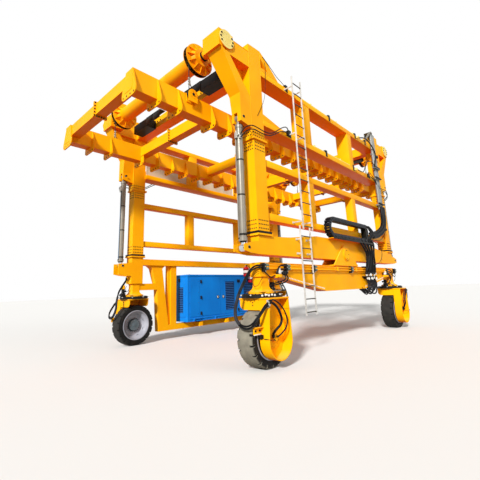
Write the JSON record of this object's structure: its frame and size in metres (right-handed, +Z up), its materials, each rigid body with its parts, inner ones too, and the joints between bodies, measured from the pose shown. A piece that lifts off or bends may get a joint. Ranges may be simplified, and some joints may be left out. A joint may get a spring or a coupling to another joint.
{
  "type": "rubber tyred gantry crane",
  "caption": "Self-driven portal crane on steered rubber tyres with telescopic legs, an equaliser beam, a generator side and a rope-hung lifting frame.",
  "frame": {"origin": "centre of the footprint on the ground", "axes": "+X along the travel direction towards the rear, +Y towards the generator side, +Z up"},
  "size_m": [12.88, 6.285, 7.4799],
  "materials": {
    "orange_paint": "satin paint over welded plate",
    "tyre": "dusty black tyre rubber",
    "rim_paint": "pale grey paint",
    "rod_chrome": "hard chrome",
    "barrel_paint": "satin paint",
    "wiper_rubber": "matt black",
    "black_paint": "satin black",
    "blue_paint": "satin blue",
    "galvanised": "hot dip galvanised",
    "red_paint": "gloss red",
    "cream_board": "matt cream",
    "wire_rope": "greased wire rope",
    "hose_rubber": "black braided hose rubber",
    "chain_plastic": "black moulded links"
  },
  "bodies": {
    "genset_side_base": {"genset_side_pedestals": "orange_paint", "genset_side_sill": "orange_paint", "genset_side_leg_bases": "orange_paint", "generator_cradle": "orange_paint", "generator_set": "blue_paint", "genset_side_leg_posts": "orange_paint", "genset_side_jack_rods": "rod_chrome", "genset_side_slew_rings": "black_paint", "genset_side_steering_drives": "black_paint", "fire_extinguishers": "red_paint", "generator_mounts": "wiper_rubber"},
    "upper_frame": {"jack_barrels": "barrel_paint", "leg_sleeves": "orange_paint", "leg_wipers": "wiper_rubber", "front_pivot_side_head": "orange_paint", "rear_pivot_side_head": "orange_paint", "front_genset_side_head": "orange_paint", "rear_genset_side_head": "orange_paint", "pivot_side_chords": "orange_paint", "genset_side_chords": "orange_paint", "pivot_side_posts": "orange_paint", "genset_side_posts": "orange_paint", "cross_beams": "orange_paint", "control_boxes": "black_paint", "sign_boards": "cream_board", "upper_ladder": "galvanised", "hoist_ropes": "wire_rope", "leg_conduits": "galvanised", "frame_pipes": "orange_paint", "column_hose": "hose_rubber", "loop_cable": "hose_rubber"},
    "pivot_side_base": {"pivot_side_sill": "orange_paint", "pivot_side_leg_posts": "orange_paint", "pivot_side_jack_rods": "rod_chrome", "lower_ladder": "galvanised", "energy_chain": "chain_plastic"},
    "equaliser": {"pivot_side_pedestals": "orange_paint", "equaliser_beam": "orange_paint", "pivot_bracket": "orange_paint", "pivot_side_slew_rings": "black_paint", "pivot_side_steering_drives": "black_paint", "equaliser_pipes": "orange_paint", "valve_blocks": "black_paint"},
    "front_pivot_side_wheel": {"front_pivot_side_tyre": "tyre", "front_pivot_side_rim": "rim_paint"},
    "rear_pivot_side_wheel": {"rear_pivot_side_tyre": "tyre", "rear_pivot_side_rim": "rim_paint"},
    "front_genset_side_wheel": {"front_genset_side_tyre": "tyre", "front_genset_side_rim": "rim_paint"},
    "rear_genset_side_wheel": {"rear_genset_side_tyre": "tyre", "rear_genset_side_rim": "rim_paint"},
    "front_pivot_side_fork": {"front_pivot_side_fork": "orange_paint"},
    "rear_pivot_side_fork": {"rear_pivot_side_fork": "orange_paint"},
    "front_genset_side_fork": {"front_genset_side_fork": "orange_paint"},
    "rear_genset_side_fork": {"rear_genset_side_fork": "orange_paint"},
    "front_hoist_shaft": {"front_hoist_shaft": "orange_paint"},
    "rear_hoist_shaft": {"rear_hoist_shaft": "orange_paint"},
    "lifting_frame": {"lifting_beams": "orange_paint", "lifting_cross_bars": "orange_paint", "rope_anchors": "orange_paint"}
  },
  "joints": [
    {"name": "leg_lift", "type": "slide", "parent": "genset_side_base", "child": "upper_frame", "axis": [0, 0, 1], "range_m": [0, 2.1]},
    {"name": "pivot_side_leg_lift", "type": "slide", "parent": "upper_frame", "child": "pivot_side_base", "axis": [0, 0, -1], "range_m": [0, 2.1]},
    {"name": "equaliser_pivot", "type": "hinge", "parent": "pivot_side_base", "child": "equaliser", "pos_m": [0, -2.66, 2.456], "axis": [0, 1, 0], "range_deg": [-2, 2]},
    {"name": "front_pivot_side_steering", "type": "hinge", "parent": "equaliser", "child": "front_pivot_side_fork", "pos_m": [-3.74, -2.66, 1.39], "axis": [0, 0, 1], "range_deg": [-90, 90]},
    {"name": "front_pivot_side_wheel_spin", "type": "hinge", "parent": "front_pivot_side_fork", "child": "front_pivot_side_wheel", "pos_m": [-3.74, -2.66, 0.6], "axis": [0, 1, 0], "continuous": true},
    {"name": "front_genset_side_steering", "type": "hinge", "parent": "genset_side_base", "child": "front_genset_side_fork", "pos_m": [-3.74, 2.66, 1.39], "axis": [0, 0, 1], "range_deg": [-90, 90]},
    {"name": "front_genset_side_wheel_spin", "type": "hinge", "parent": "front_genset_side_fork", "child": "front_genset_side_wheel", "pos_m": [-3.74, 2.66, 0.6], "axis": [0, 1, 0], "continuous": true},
    {"name": "rear_pivot_side_steering", "type": "hinge", "parent": "equaliser", "child": "rear_pivot_side_fork", "pos_m": [3.74, -2.66, 1.39], "axis": [0, 0, 1], "range_deg": [-90, 90]},
    {"name": "rear_pivot_side_wheel_spin", "type": "hinge", "parent": "rear_pivot_side_fork", "child": "rear_pivot_side_wheel", "pos_m": [3.74, -2.66, 0.6], "axis": [0, 1, 0], "continuous": true},
    {"name": "rear_genset_side_steering", "type": "hinge", "parent": "genset_side_base", "child": "rear_genset_side_fork", "pos_m": [3.74, 2.66, 1.39], "axis": [0, 0, 1], "range_deg": [-90, 90]},
    {"name": "rear_genset_side_wheel_spin", "type": "hinge", "parent": "rear_genset_side_fork", "child": "rear_genset_side_wheel", "pos_m": [3.74, 2.66, 0.6], "axis": [0, 1, 0], "continuous": true},
    {"name": "hoist", "type": "slide", "parent": "upper_frame", "child": "lifting_frame", "axis": [0, 0, 1], "range_m": [-3, 0], "deforming": ["hoist_ropes"]},
    {"name": "front_hoist_shaft_turn", "type": "hinge", "parent": "upper_frame", "child": "front_hoist_shaft", "pos_m": [-4.74, 0, 7.08], "axis": [0, 1, 0], "range_deg": [-615, 0]},
    {"name": "rear_hoist_shaft_turn", "type": "hinge", "parent": "upper_frame", "child": "rear_hoist_shaft", "pos_m": [4.74, 0, 7.08], "axis": [0, 1, 0], "range_deg": [0, 615]}
  ],
  "couplings": [
    {"joint": "pivot_side_leg_lift", "follows": "leg_lift", "ratio": 1},
    {"joint": "front_hoist_shaft_turn", "follows": "hoist", "rad_per_m": 3.5714},
    {"joint": "rear_hoist_shaft_turn", "follows": "hoist", "rad_per_m": -3.5714}
  ]
}
